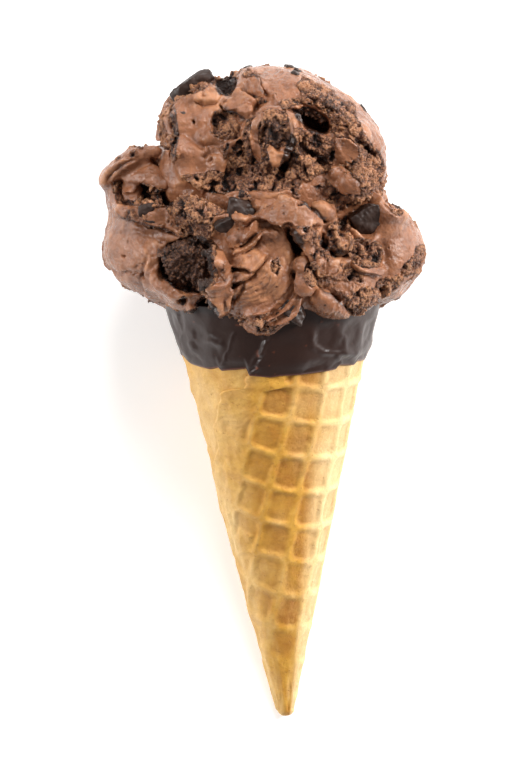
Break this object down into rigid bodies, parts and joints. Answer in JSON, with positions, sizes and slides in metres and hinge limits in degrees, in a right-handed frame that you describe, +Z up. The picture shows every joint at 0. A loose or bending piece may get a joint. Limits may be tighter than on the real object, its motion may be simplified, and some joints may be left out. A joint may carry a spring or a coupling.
{
  "type": "ice cream cone",
  "caption": "Scoops of chocolate ice cream with brownie pieces and chocolate chunks, in a rolled waffle cone with a chocolate-dipped rim.",
  "frame": {"origin": "bottom centre of the object's box, on the surface it lies on", "axes": "+Y along the object's length toward the top of the ice cream, with the cone's tip toward -Y; +Z up, out of its front"},
  "size_m": [0.1046, 0.2094, 0.0862],
  "materials": {
    "wafer": "matte baked",
    "dip": "glossy chocolate",
    "ice_cream": "satin, slightly moist",
    "brownie": "matte crumb",
    "chunk": "satin chocolate"
  },
  "bodies": {
    "root": {"waffle_cone": "wafer", "chocolate_dip": "dip", "scoop_lower": "ice_cream", "scoop_upper": "ice_cream", "brownie_in_hollow": "brownie", "brownie_in_frame": "brownie", "brownie_near_top": "brownie", "brownie_at_right_side": "brownie", "chunk_on_top": "chunk", "chunk_at_fold": "chunk", "chunk_under_fold": "chunk", "chunk_at_right": "chunk", "chunk_at_rim": "chunk", "chunk_at_back": "chunk"}
  },
  "joints": []
}
